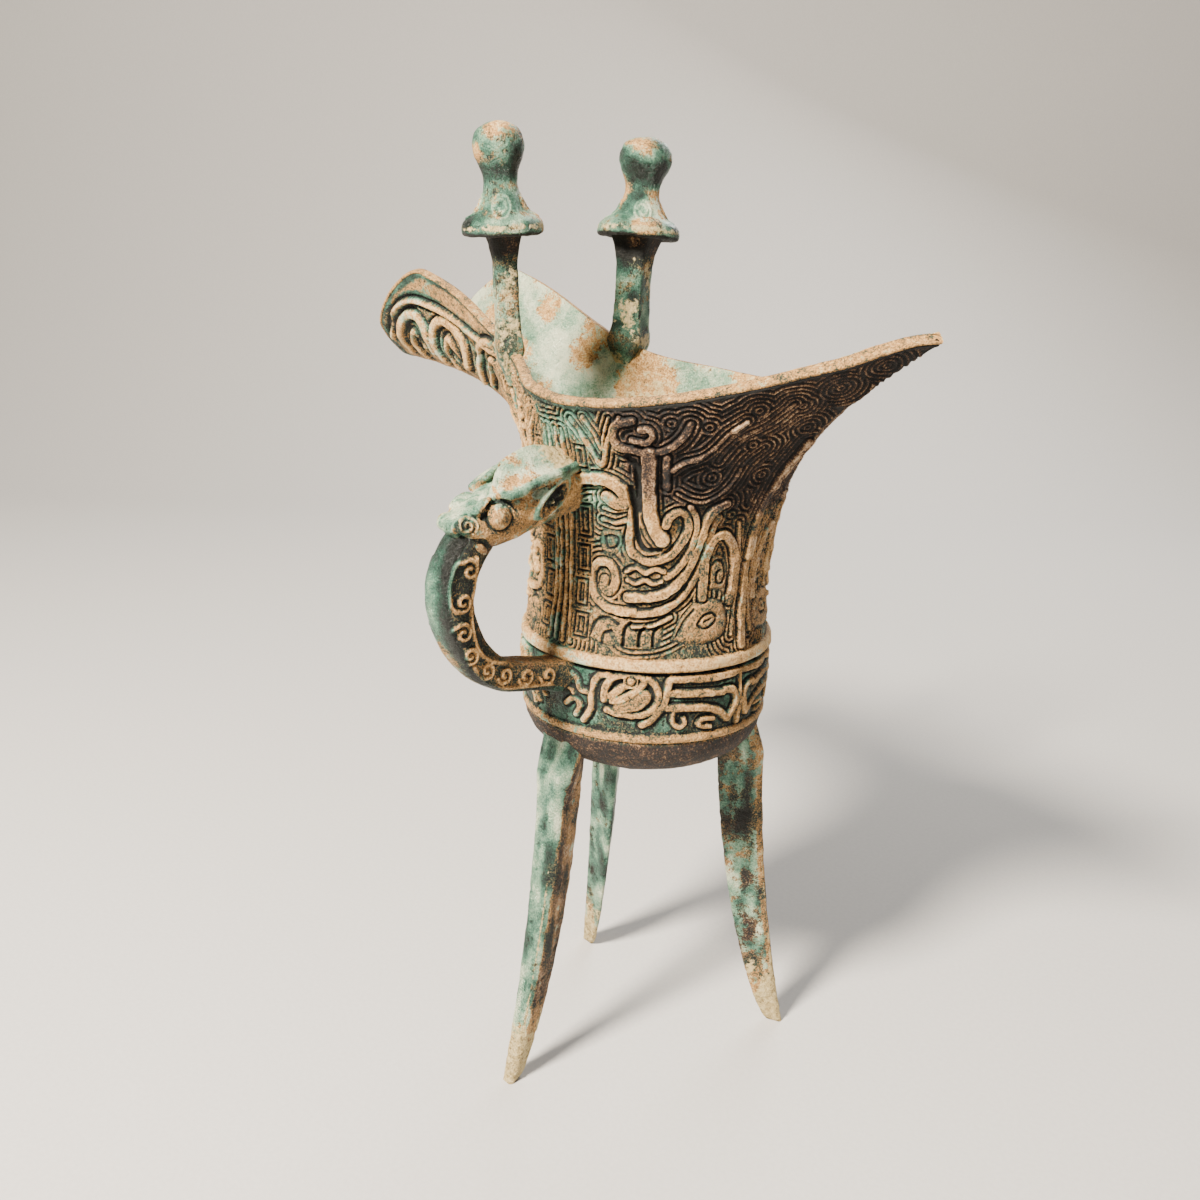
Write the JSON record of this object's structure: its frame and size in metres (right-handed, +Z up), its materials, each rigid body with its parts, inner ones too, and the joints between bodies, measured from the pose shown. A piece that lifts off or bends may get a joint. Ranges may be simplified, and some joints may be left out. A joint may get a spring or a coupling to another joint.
{
  "type": "tripod wine cup",
  "caption": "Cast bronze tripod wine cup with a long spout, pointed tail, capped posts on the rim and a loop handle under a beast's head, for warming and pouring wine",
  "frame": {"origin": "on the ground under the middle of the cup's bounding box", "axes": "+X runs from the spout to the pointed tail, -Y is the handle's side, +Z is up through the posts"},
  "size_m": [0.1472, 0.0892, 0.2],
  "materials": {
    "bronze": "patinated, blue-green and earthy tan"
  },
  "bodies": {
    "root": {"cup": "bronze"}
  },
  "joints": []
}
